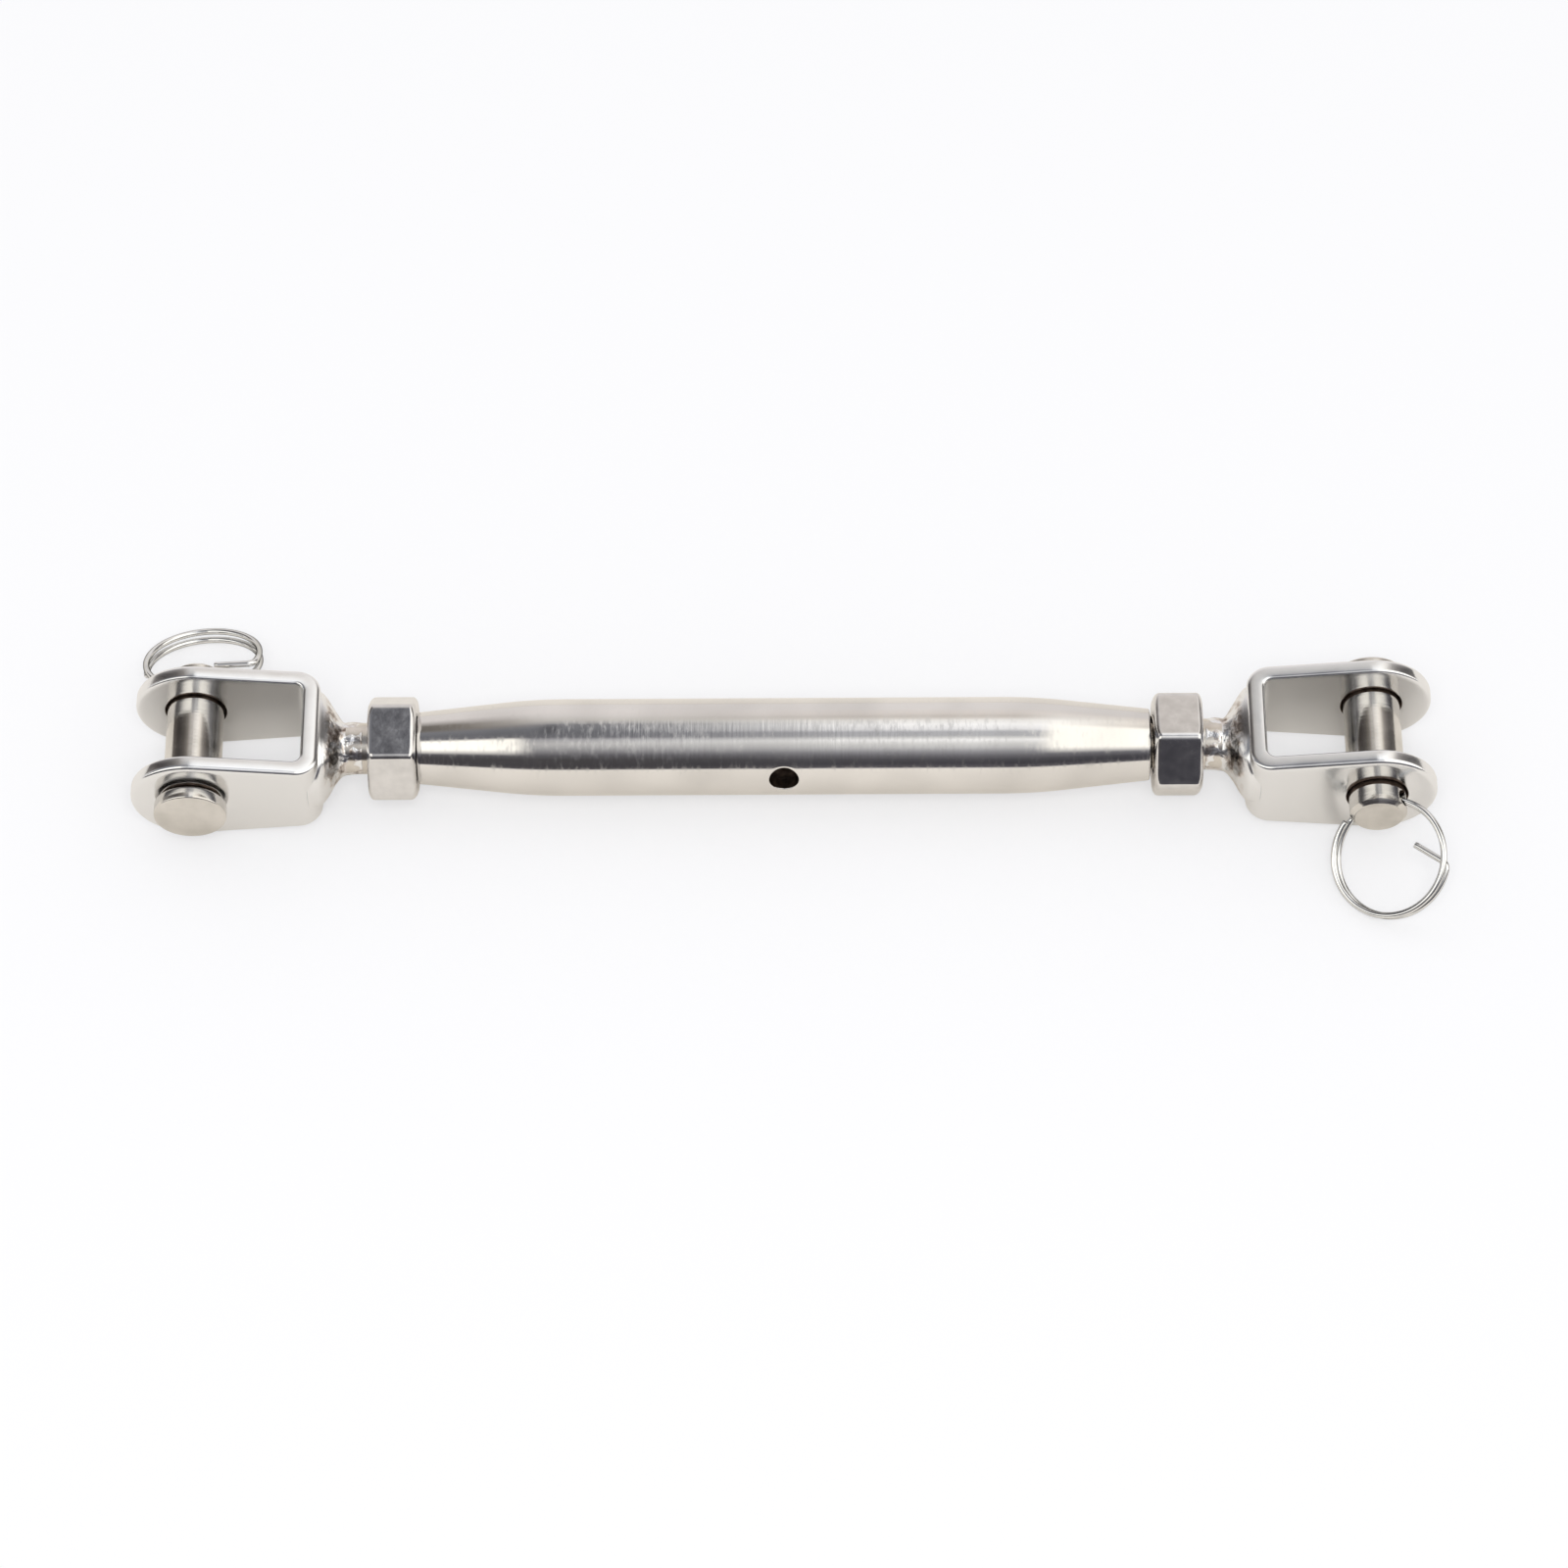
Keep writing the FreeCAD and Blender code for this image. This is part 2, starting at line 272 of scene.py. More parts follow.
def make_piece(name, sheets, material, body, crease=35.0):
    """One object from sheets of (points in mm, faces), joined where their points meet. It replaces
    the CAD node of the same name, rides on its body and takes the material it is given."""
    joined = bmesh.new()
    for points, faces in sheets:
        corners = [joined.verts.new(Vector(p) * MILLIMETRE) for p in points]
        for face in faces:
            joined.faces.new([corners[i] for i in face])
    bmesh.ops.remove_doubles(joined, verts=joined.verts, dist=2e-4 * MILLIMETRE)
    bmesh.ops.dissolve_degenerate(joined, edges=joined.edges, dist=1e-4 * MILLIMETRE)
    bmesh.ops.delete(joined, geom=[v for v in joined.verts if not v.link_faces], context="VERTS")
    bmesh.ops.recalc_face_normals(joined, faces=joined.faces)
    for face in joined.faces:
        face.smooth = True
    mesh = bpy.data.meshes.new(name)
    joined.to_mesh(mesh)
    joined.free()
    mesh.set_sharp_from_angle(angle=math.radians(crease))
    mesh.materials.append(material)
    piece = bpy.data.objects.new(name + "_finish", mesh)
    bpy.context.scene.collection.objects.link(piece)
    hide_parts(name)
    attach(piece, body)
    return piece


def barrel_side():
    """The barrel's rounded shoulder as (x, radius), from the full radius to where the taper starts."""
    slope = math.atan2(BARREL_RADIUS - BARREL_END_RADIUS, TAPER_LENGTH)
    reach = SHOULDER_RADIUS * math.tan(slope / 2)
    shoulder = BARREL_HALF - TAPER_LENGTH
    outline = []
    for k in range(SHOULDER_STEPS + 1):
        bend = slope * k / SHOULDER_STEPS
        outline.append((
            shoulder - reach + SHOULDER_RADIUS * math.sin(bend),
            BARREL_RADIUS - SHOULDER_RADIUS * (1 - math.cos(bend)),
        ))
    return outline


barrel_turn = math.radians(180 - CROSS_HOLE_ANGLE)
barrel_turns = even_turns(BARREL_COLUMNS, barrel_turn)
half_turn = math.pi * WINDOW_COLUMNS / BARREL_COLUMNS
outer_half_x = BARREL_RADIUS * math.sin(half_turn)
inner_half_x = CAVITY_RADIUS * math.sin(half_turn)
side_outline = barrel_side()
end_outline = eased([
    side_outline[-1],
    (BARREL_HALF, BARREL_END_RADIUS),
    (BARREL_HALF, BORE_RADIUS + BORE_LEAD),
    (BARREL_HALF - BORE_LEAD, BORE_RADIUS),
    (BARREL_HALF - 2 * BORE_LEAD, BORE_RADIUS),
], END_EASE)
window_steps = [2 * k / WINDOW_COLUMNS - 1 for k in range(WINDOW_COLUMNS + 1)]
right_half = side_outline + end_outline[1:]
outer_outline = [(-x, r) for x, r in reversed(right_half)]
outer_outline += [(outer_half_x * a, BARREL_RADIUS) for a in window_steps] + right_half
thread_start = BARREL_HALF - 2 * BORE_LEAD
thread_stop = thread_start - DRAWN_BORE_THREADS * THREAD_PITCH
right_bore = [
    (thread_stop, BORE_RADIUS),
    (BARREL_HALF - TAPPED_LENGTH, BORE_RADIUS),
    (BARREL_HALF - TAPPED_LENGTH - 1, CAVITY_RADIUS),
]
inner_outline = right_bore + [(-inner_half_x * a, CAVITY_RADIUS) for a in window_steps]
inner_outline += [(-x, r) for x, r in reversed(right_bore)]
barrel_sheets = [
    tube_with_windows(outer_outline, BARREL_COLUMNS, barrel_turn,
                      [(0, BARREL_RADIUS, outer_half_x, half_turn)]),
    tube_with_windows(inner_outline, BARREL_COLUMNS, barrel_turn,
                      [(0, CAVITY_RADIUS, inner_half_x, half_turn)]),
    bore_thread(thread_start, thread_stop, barrel_turns, BORE_THREAD_DEPTH, BORE_RADIUS),
    bore_thread(-thread_start, -thread_stop, barrel_turns, BORE_THREAD_DEPTH, BORE_RADIUS),
]
for turn in (barrel_turn, barrel_turn + math.pi):
    rows = hole_rows(0, BARREL_RADIUS, CROSS_HOLE_RADIUS, OUTER_HOLE_RIM, outer_half_x, half_turn,
                     WINDOW_COLUMNS, turn)
    rows += reversed(hole_rows(0, CAVITY_RADIUS, CROSS_HOLE_RADIUS, INNER_HOLE_RIM, inner_half_x,
                               half_turn, WINDOW_COLUMNS, turn, sink=-1))
    barrel_sheets.append(grid(rows))

# Polished stainless tube: a mirror, crossed by fine rings from the wheel that break up the edges of
# what it reflects, and hazed in streaks where it was rubbed. The rings are drawn 0.3 mm apart, wider
# than the real ones, so that they show.
mirror_steel, tree, shader = new_material("wheel_polished_stainless_tube")
where = add(tree, "ShaderNodeTexCoord").outputs["Object"]
wheel = add(tree, "ShaderNodeMapping", {"Vector": where, "Scale": (3300, 240, 240)}).outputs["Vector"]
rings_seen = mottle(tree, wheel, 1.0, 3.0)
waves = mottle(tree, where, 160.0, 1.0)
patches = spread(tree, waves, 0.4, 0.65, 0.25, 1.0)
ringed = relief(tree, times(tree, rings_seen, patches), 0.2, 0.00002)
streaks = add(tree, "ShaderNodeMapping", {"Vector": where, "Scale": (2600, 900, 900)}).outputs["Vector"]
rubbed = mottle(tree, streaks, 1.0, 4.0, 0.6)
haze = spread(tree, rubbed, 0.45, 0.72, 0.05, 0.26)
tint = colours(tree, waves, [(0.3, "#d5d3d1"), (0.7, "#e3e1df")])
bare_metal(tree, shader, tint, haze, ringed)
barrel = make_piece("barrel", barrel_sheets, mirror_steel, "barrel")

# Painted shade: a dark, mottled metal given to the insides of holes and bores and to the pins where they sit
# in them, so the holes look nearly black.
painted_shade, tree, shader = new_material("painted_shade_in_holes")
where = add(tree, "ShaderNodeTexCoord").outputs["Object"]
shade_mottle = mottle(tree, where, 900.0, 3.0)
tint = colours(tree, shade_mottle, [(0.35, "#3c312b"), (0.7, "#77675c")])
tree.links.new(tint, shader.inputs["Base Color"])
tree.links.new(relief(tree, shade_mottle, 0.5, 0.00005), shader.inputs["Normal"])
shader.inputs["Metallic"].default_value = 1.0
shader.inputs["Roughness"].default_value = 0.5


def paint_shade(piece, inside):
    """Gives the painted shade to the faces of a piece whose centre, in mm, is inside."""
    piece.data.materials.append(painted_shade)
    for polygon in piece.data.polygons:
        if inside(*(polygon.center / MILLIMETRE)):
            polygon.material_index = 1


# The painted shade covers the cavity and the cross hole's wall from a little below the outer face, so the
# cross hole keeps a bright rim.
BARREL_DARK_RADIUS = 0.93 * BARREL_RADIUS
paint_shade(barrel, lambda x, y, z: math.hypot(y, z) < BARREL_DARK_RADIUS
       and abs(x) < BARREL_HALF - TAPER_LENGTH)

# Lock nuts, one against each end of the barrel. Plain 10 mm stainless hexagons 5 mm thick, turned
# from bar with both faces chamfered at 30 degrees, then tumbled bright. The left one has a
# left-hand thread.
NUT_THICKNESS = 5.0
NUT_FLAT_RADIUS = 5.0
NUT_CORNER_BREAK = 0.85
NUT_CHAMFER_ANGLE = 30.0
NUT_LEAD = 0.35
NUT_EDGE_ROUND = 0.5
NUT_FACE_INSET = 0.7 * NUT_EDGE_ROUND
NUT_LEAST_DROP = 0.6 * NUT_EDGE_ROUND
NUT_FLAT_STEPS = 5
NUT_CORNER_STEPS = 6
NUT_GAPS = {"left": 0.05, "right": 0.35}
NUT_TURN_ANGLES = {"left": 12.0, "right": -5.0}
SIDES = {"left": -1, "right": 1}


def hexagon(turn):
    """(turn, radius) round a hexagon with a flat facing +Z, its corners eased, then turned about X."""
    corner_radius = NUT_FLAT_RADIUS / math.cos(math.pi / 6)
    corners = [corner_radius * Vector((math.cos(t), math.sin(t))) for t in even_turns(6)]
    points = []
    for k in range(6):
        before, corner, after = corners[k - 1], corners[k], corners[(k + 1) % 6]
        middles = before.lerp(corner, 0.5), corner.lerp(after, 0.5)
        curve = eased([middles[0], corner, middles[1]], NUT_EDGE_ROUND, NUT_CORNER_STEPS)
        points += [curve[0].lerp(curve[1], s / NUT_FLAT_STEPS) for s in range(NUT_FLAT_STEPS)]
        points += curve[1:-1]
        points += [curve[-2].lerp(curve[-1], s / NUT_FLAT_STEPS) for s in range(1, NUT_FLAT_STEPS)]
    return [(math.atan2(p.y, p.x) + turn, p.length) for p in points]


def nut_sheets(side):
    """A nut's outside, with both chamfers, the leads of its bore and its thread."""
    way = SIDES[side]
    start = BARREL_HALF + NUT_GAPS[side]
    end = start + NUT_THICKNESS
    face_radius = NUT_FLAT_RADIUS / math.cos(math.pi / 6) - NUT_CORNER_BREAK
    slope = math.tan(math.radians(NUT_CHAMFER_ANGLE))
    outline = hexagon(math.radians(NUT_TURN_ANGLES[side]))
    columns = []
    for turn, radius in outline:
        face = min(face_radius, radius - NUT_FACE_INSET)
        drop = max(NUT_LEAST_DROP, (radius - face_radius) * slope)
        corners = [
            (start + 2 * NUT_LEAD, BORE_RADIUS),
            (start + NUT_LEAD, BORE_RADIUS),
            (start, BORE_RADIUS + NUT_LEAD),
            (start, face),
            (start + drop, radius),
            (start + drop + NUT_EDGE_ROUND, radius),
            (end - drop - NUT_EDGE_ROUND, radius),
            (end - drop, radius),
            (end, face),
            (end, BORE_RADIUS + NUT_LEAD),
            (end - NUT_LEAD, BORE_RADIUS),
            (end - 2 * NUT_LEAD, BORE_RADIUS),
        ]
        columns.append([Vector((way * x, r * math.cos(turn), r * math.sin(turn)))
                        for x, r in eased(corners, 0.5 * NUT_EDGE_ROUND, 4)])
    rows = [list(row) for row in zip(*columns)]
    turns = [turn for turn, radius in outline]
    bore = bore_thread(way * (start + 2 * NUT_LEAD), way * (end - 2 * NUT_LEAD), turns,
                       BORE_THREAD_DEPTH, BORE_RADIUS)
    return [grid(rows), bore]


# Tumbled stainless bar: bright, with a soft mottle that blurs each flat's reflection a little.
nut_steel, tree, shader = new_material("tumbled_stainless_bar")
where = add(tree, "ShaderNodeTexCoord").outputs["Object"]
tumbled = mottle(tree, where, 900.0, 4.0)
dents = mottle(tree, where, 260.0, 2.0)
dented = relief(tree, dents, 0.25, 0.00008, relief(tree, tumbled, 0.35, 0.00003))
haze = spread(tree, tumbled, 0.3, 0.7, 0.06, 0.15)
tint = colours(tree, tumbled, [(0.3, "#d0cfcf"), (0.7, "#dedddd")])
bare_metal(tree, shader, tint, haze, dented)
for side in SIDES:
    make_piece(side + "_lock_nut", nut_sheets(side), nut_steel, side + "_lock_nut", crease=50.0)

# Studs, M6 stainless rod with a rolled thread, left-handed on the left. Each is threaded where it
# runs in the barrel and the nut, and a plain shank where it meets its fork.
STUD_START = 3.0
STUD_RADIUS = 3.0
STUD_LEAD = 0.7
THREAD_DEPTH = 0.35
ROOT_RADIUS = 2.42
THREAD_END = 41.8
SHANK_END = 45.2
SHANK_RADIUS = STUD_RADIUS - THREAD_DEPTH
SHANK_STATIONS = (THREAD_END, 43.0, 44.2, SHANK_END)
RUNOUT_LENGTH = 1.5 * THREAD_PITCH
STUD_COLUMNS = 56
ROWS_PER_PITCH = 10


def stud_sheets(side):
    """A helical grid whose rows follow the thread, then the plain shank and the inner end's face."""
    way = SIDES[side]
    count = round((THREAD_END - STUD_START) / THREAD_PITCH + 2) * ROWS_PER_PITCH
    rows = []
    for i in range(count + 1):
        ridge = thread_shape(i / ROWS_PER_PITCH)
        row = []
        for j in range(STUD_COLUMNS):
            share = j / STUD_COLUMNS
            x = STUD_START - THREAD_PITCH + (i / ROWS_PER_PITCH + share) * THREAD_PITCH
            x = min(THREAD_END, max(STUD_START, x))
            runout = min(1.0, max(0.0, (THREAD_END - x) / RUNOUT_LENGTH))
            root = SHANK_RADIUS + (ROOT_RADIUS - SHANK_RADIUS) * runout
            crest = min(STUD_RADIUS, SHANK_RADIUS + max(0.0, THREAD_END - x))
            lead = STUD_RADIUS - STUD_LEAD + x - STUD_START
            r = min(lead, root + (crest - root) * ridge)
            turn = 2 * math.pi * share
            row.append(Vector((way * x, r * math.cos(turn), r * math.sin(turn))))
        rows.append(row)
    points = [p for row in rows for p in row]
    faces = []
    for i in range(count):
        for j in range(STUD_COLUMNS):
            k, rise = (j + 1) % STUD_COLUMNS, ROWS_PER_PITCH if j == STUD_COLUMNS - 1 else 0
            if i + rise + 1 <= count:
                a, b = i * STUD_COLUMNS + j, (i + rise) * STUD_COLUMNS + k
                faces.append((a, b, b + STUD_COLUMNS, a + STUD_COLUMNS))
    turns = even_turns(STUD_COLUMNS)
    face = [ring_of(way * STUD_START, r, turns) for r in (STUD_RADIUS - STUD_LEAD, 1.2, 0.0)]
    shank = [ring_of(way * x, SHANK_RADIUS, turns) for x in SHANK_STATIONS]
    shank.append(ring_of(way * SHANK_END, 0.0, turns))
    return [(points, faces), grid(face), grid(shank)]


# Rolled stainless thread: bright crests, with the rolling's fine marks along them.
thread_steel, tree, shader = new_material("rolled_stainless_thread")
where = add(tree, "ShaderNodeTexCoord").outputs["Object"]
rolled = mottle(tree, where, 700.0, 3.0)
haze = spread(tree, rolled, 0.0, 1.0, 0.1, 0.26)
tint = colours(tree, rolled, [(0.35, "#c8c2ba"), (0.65, "#dad5ce")])
bare_metal(tree, shader, tint, haze, relief(tree, rolled, 0.4, 0.00004))
for side in SIDES:
    make_piece(side + "_stud", stud_sheets(side), thread_steel, side + "_end")

# Forks, stainless strap forged to a U with round eyes, its rims rounded over and its neck flared out
# behind the base, where it is welded to the stud and dressed by hand.
BASE_START = 47.8
BASE_THICKNESS = 1.8
BASE_HALF_HEIGHT = 4.8
JAW_GAP = 9.5
JAW_DEPTH = 11.45
EAR_THICKNESS = 1.68
EYE_RADIUS = 6.2
PIN_HOLE_RADIUS = 3.03
OUTER_BEND = 2.3
INNER_BEND = 0.9
OUTER_RIM = 0.5
INNER_RIM = 0.34
HOLE_RIM = 0.2
EAR_CUT = 50.9
CUT_STEPS = 20
EYE_STEPS = 100
RIM_STEPS = 5
FLARE_START = 45.2
FLARE_LENGTH = 2.9
FLARE_HALF_WIDTH = 5.9
FLARE_HALF_HEIGHT = 4.5
WELD_SWELL = 0.3
WELD_LENGTH = 1.7
WELD_STEPS = 10
WELD_END_LENGTH = 0.15
WELD_END_DROP = 0.12
WELD_MIDDLE = FLARE_START + 0.2
WELD_REACH = 2.1
WELD_NOISE_RADIUS = 2.6
FLARE_STEPS = 28
FLARE_SQUARENESS = 0.7
NECK_COLUMNS = 96
STRAIGHT_SHARE = 0.2
FACE_STEPS = 6
LIP_STEPS = 3
EAR_STATIONS = 3
BEND_STEPS = 12
BASE_STATIONS = 8
FORK_HALF_WIDTH = JAW_GAP / 2 + EAR_THICKNESS
JAW_START = BASE_START + BASE_THICKNESS
PIN_PLACE = JAW_START + JAW_DEPTH


def ear_slope():
    """Slope of an ear's straight edges, which touch the eye and end at the base's corners."""
    span = math.hypot(PIN_PLACE - BASE_START, BASE_HALF_HEIGHT)
    return math.asin(EYE_RADIUS / span) - math.atan2(BASE_HALF_HEIGHT, PIN_PLACE - BASE_START)


def half_height(x):
    """Half the strap's height at this x, on its straight edges."""
    return BASE_HALF_HEIGHT + (x - BASE_START) * math.tan(ear_slope())


def ear_outline():
    """(x, z, normal x, normal z) round an ear, from the lower end of its cut to the upper one."""
    lean = ear_slope()
    touch_x = PIN_PLACE - EYE_RADIUS * math.sin(lean)
    straight = round(EYE_STEPS * STRAIGHT_SHARE)
    outline = []
    for k in range(straight):
        x = EAR_CUT + (touch_x - EAR_CUT) * k / straight
        outline.append((x, -half_height(x), -math.sin(lean), -math.cos(lean)))
    arc = EYE_STEPS - 2 * straight
    for k in range(arc + 1):
        turn = math.radians(-90) - lean + (math.pi + 2 * lean) * k / arc
        nx, nz = math.cos(turn), math.sin(turn)
        outline.append((PIN_PLACE + EYE_RADIUS * nx, EYE_RADIUS * nz, nx, nz))
    for k in range(1, straight + 1):
        x = touch_x + (EAR_CUT - touch_x) * k / straight
        outline.append((x, half_height(x), -math.sin(lean), math.cos(lean)))
    return outline


def rim_rows(place, normal, outward, thickness):
    """Points over a rim from the edge of its outer face to the edge of its inner one. place is where
    the two would meet square on the outer face, normal points out of the rim, outward off the face."""
    points = []
    for k in range(RIM_STEPS + 1):
        turn = math.pi / 2 * k / RIM_STEPS
        points.append(place - normal * (OUTER_RIM * (1 - math.sin(turn)))
                      - outward * (OUTER_RIM * (1 - math.cos(turn))))
    for k in range(RIM_STEPS + 1):
        turn = math.pi / 2 * k / RIM_STEPS
        points.append(place - normal * (INNER_RIM * (1 - math.cos(turn)))
                      - outward * (thickness - INNER_RIM * (1 - math.sin(turn))))
    return points


def ear_sheets(front):
    """One ear: its two faces as rays from the pin hole to the rim, the rim and the hole's wall."""
    outward = Vector((0, front, 0))
    outline = ear_outline()
    rims = [
        rim_rows(Vector((x, front * FORK_HALF_WIDTH, z)), Vector((nx, 0, nz)), outward, EAR_THICKNESS)
        for x, z, nx, nz in outline
    ]
    sheets = [grid(rims, around=False)]
    bore = []
    for inset, level, edge in ((OUTER_RIM, 0.0, 0), (INNER_RIM, EAR_THICKNESS, -1)):
        top, bottom = rims[-1][edge], rims[0][edge]
        loop = [row[edge] for row in rims]
        loop += [top.lerp(bottom, k / CUT_STEPS) for k in range(1, CUT_STEPS)]
        lip = []
        for point in loop:
            ray = Vector((point.x - PIN_PLACE, 0, point.z)).normalized()
            lip.append(Vector((PIN_PLACE, point.y, 0)) + ray * (PIN_HOLE_RADIUS + HOLE_RIM))
        rows = [[a.lerp(b, k / FACE_STEPS) for a, b in zip(loop, lip)] for k in range(FACE_STEPS + 1)]
        sheets.append(grid(rows))
        sink = -outward if edge == 0 else outward
        rounded = []
        for k in range(LIP_STEPS + 1):
            turn = math.pi / 2 * k / LIP_STEPS
            inwards, down = HOLE_RIM * math.sin(turn), HOLE_RIM * (1 - math.cos(turn))
            row = []
            for point in lip:
                ray = Vector((point.x - PIN_PLACE, 0, point.z)).normalized()
                row.append(point - ray * inwards + sink * down)
            rounded.append(row)
        bore.append(rounded)
    sheets.append(grid(bore[0]))
    sheets.append(grid(bore[1]))
    sheets.append(grid([bore[0][-1], bore[1][-1]]))
    return sheets


def strap_stations():
    """(outer point, inner point, way along the strap) in XY from one ear's cut round to the other's."""
    half = []
    outer_y, inner_y = FORK_HALF_WIDTH, JAW_GAP / 2
    for k in range(EAR_STATIONS):
        t = k / EAR_STATIONS
        half.append((Vector((EAR_CUT + (BASE_START + OUTER_BEND - EAR_CUT) * t, outer_y, 0)),
                     Vector((EAR_CUT + (JAW_START + INNER_BEND - EAR_CUT) * t, inner_y, 0)),
                     Vector((1, 0, 0))))
    for k in range(BEND_STEPS + 1):
        turn = math.pi / 2 * k / BEND_STEPS
        out = Vector((-math.sin(turn), math.cos(turn), 0))
        centre = Vector((BASE_START + OUTER_BEND, outer_y - OUTER_BEND, 0))
        inside = Vector((JAW_START + INNER_BEND, inner_y - INNER_BEND, 0))
        half.append((centre + out * OUTER_BEND, inside + out * INNER_BEND,
                     Vector((math.cos(turn), math.sin(turn), 0))))
    for k in range(1, BASE_STATIONS + 1):
        t = k / BASE_STATIONS
        half.append((Vector((BASE_START, (outer_y - OUTER_BEND) * (1 - t), 0)),
                     Vector((JAW_START, (inner_y - INNER_BEND) * (1 - t), 0)), Vector((0, 1, 0))))
    other = [(Vector((o.x, -o.y, 0)), Vector((i.x, -i.y, 0)), Vector((w.x, -w.y, 0)))
             for o, i, w in reversed(half[:-1])]
    return half + other


def strap_sheet():
    """The base and the two bends: at each station a band of outer face, rim, inner face and rim."""
    slope = math.tan(ear_slope())
    rows = []
    for outer, inner, way in strap_stations():
        outward = (outer - inner).normalized()
        thickness = (outer - inner).length
        tilt = slope * way.x
        up = Vector((-way.x * tilt, -way.y * tilt, 1)).normalized()
        down = Vector((up.x, up.y, -up.z))
        high, low = half_height(outer.x), half_height(inner.x)
        top = rim_rows(outer + Vector((0, 0, high)), up, outward, thickness)
        bottom = rim_rows(outer - Vector((0, 0, high)), down, outward, thickness)
        for points, sign in ((top, 1), (bottom, -1)):
            for k in range(RIM_STEPS + 1, len(points)):
                points[k] += Vector((0, 0, sign * (low - high)))
        face = [bottom[0].lerp(top[0], k / CUT_STEPS) for k in range(1, CUT_STEPS)]
        back = [top[-1].lerp(bottom[-1], k / CUT_STEPS) for k in range(1, CUT_STEPS)]
        rows.append(face + top + back + bottom[::-1])
    return grid(rows)


def neck_sheet():
    """The flare from the stud's round shank to the base's wide back, and its weld, a little uneven."""
    turns = even_turns(NECK_COLUMNS)
    weld_start = FLARE_START - WELD_LENGTH
    stations = [(weld_start - WELD_END_LENGTH, 0.0), (weld_start, 0.0)]
    stations += [(weld_start + WELD_LENGTH * k / WELD_STEPS, 0.0) for k in range(1, WELD_STEPS + 1)]
    stations += [(FLARE_START + FLARE_LENGTH * k / FLARE_STEPS, k / FLARE_STEPS)
                 for k in range(1, FLARE_STEPS + 1)]
    # Three more run on inside the base, so that no seam opens there.
    stations += [(FLARE_START + FLARE_LENGTH + 0.3 * k, 1.0 + 0.04 * k) for k in range(1, 4)]
    rows = [ring_of(stations[0][0], 0.0, turns)]
    for k, (x, share) in enumerate(stations):
        opened = share * share * (3 - 2 * share) if share < 1 else share
        least = SHANK_RADIUS - (WELD_END_DROP if k == 0 else 0.0)
        wide = least + (FLARE_HALF_WIDTH - SHANK_RADIUS) * opened
        high = least + (FLARE_HALF_HEIGHT - SHANK_RADIUS) * min(1.0, opened)
        power = 2 / (2 + FLARE_SQUARENESS * min(1.0, opened))
        row = []
        for t in turns:
            c, s = math.cos(t), math.sin(t)
            y = wide * math.copysign(abs(c) ** power, c)
            z = high * math.copysign(abs(s) ** power, s)
            spot = Vector((x, c * WELD_NOISE_RADIUS, s * WELD_NOISE_RADIUS))
            rough = noise.noise(spot * 0.8) * 0.7 + noise.noise(spot * 1.7) * 0.3
            near = max(0.0, 1 - abs(x - WELD_MIDDLE) / WELD_REACH)
            swell = 1 + rough * WELD_SWELL * near / SHANK_RADIUS
            row.append(Vector((x, y * swell, z * swell)))
        rows.append(row)
    rows.append(ring_of(stations[-1][0], 0.0, turns))
    return grid(rows)


# Forged stainless strap, polished by hand: bright but less flat than the barrel, so that its
# reflections swim, with pits and brown heat marks left at the weld.
forged_steel, tree, shader = new_material("hand_polished_forged_stainless")
where = add(tree, "ShaderNodeTexCoord").outputs["Object"]
grain = mottle(tree, where, 1200.0, 4.0)
swim = mottle(tree, where, 190.0, 2.0)
spatter = mottle(tree, where, 800.0, 3.0, 0.55)
split = add(tree, "ShaderNodeSeparateXYZ", {"Vector": where})
off_middle = add(tree, "ShaderNodeMath", {0: split.outputs["X"]}, operation="ABSOLUTE").outputs["Value"]
weld = spread(tree, off_middle, 0.0468, 0.0474, 1.0, 0.0)  # 1 at the weld, 0 from the base on
swimming = relief(tree, swim, 0.5, 0.00012, relief(tree, grain, 0.3, 0.00002))
pitted = relief(tree, times(tree, spatter, weld), 1.0, 0.00012, swimming)
haze = spread(tree, swim, 0.3, 0.7, 0.12, 0.24)
heat = times(tree, spread(tree, spatter, 0.46, 0.66), weld)
tint = colours(tree, heat, [(0.0, "#e8e9eb"), (0.5, "#cfc8c3"), (1.0, "#81756d")])
bare_metal(tree, shader, tint, haze, pitted)

# Painted shade on the walls and rims of the pin holes, so a dark line shows round each pin.
DARK_HOLE_RADIUS = PIN_HOLE_RADIUS + 0.9 * HOLE_RIM
for side, way in SIDES.items():
    sheets = ear_sheets(1) + ear_sheets(-1) + [strap_sheet(), neck_sheet()]
    sheets = [([Vector((way * p.x, p.y, p.z)) for p in points], faces) for points, faces in sheets]
    fork = make_piece(side + "_fork", sheets, forged_steel, side + "_end", crease=48.0)
    paint_shade(fork, lambda x, y, z: math.hypot(abs(x) - PIN_PLACE, z) < DARK_HOLE_RADIUS)

# Clevis pins, turned stainless with a low head, a chamfered tip and a drilled cross hole for the
# split ring. The head is at the front on the left and at the back on the right.
PIN_RADIUS = 2.95
HEAD_RADIUS = 3.75
HEAD_FACE = FORK_HALF_WIDTH + 0.5
HEAD_END = HEAD_FACE + 1.45
PIN_TIP = -(FORK_HALF_WIDTH + 2.65)
PIN_CHAMFER = 0.45
RING_HOLE_RADIUS = 0.85
RING_HOLE_PLACE = -(FORK_HALF_WIDTH + 1.3)
PIN_SPIN_ANGLES = {"left": -3.0, "right": 31.0}
PIN_COLUMNS = 96
PIN_WINDOW = 20
PIN_EASE = 0.1
HEAD_BREAK = 0.6
HEAD_BREAK_LENGTH = 0.05
FACE_RING_RADIUS = 0.9
HEAD_EASE = 0.24
RING_HOLE_RIM = 0.03
# Distance off the pin's middle where the painted shade on the pin starts.
SHADE_BAND_START = 4.45


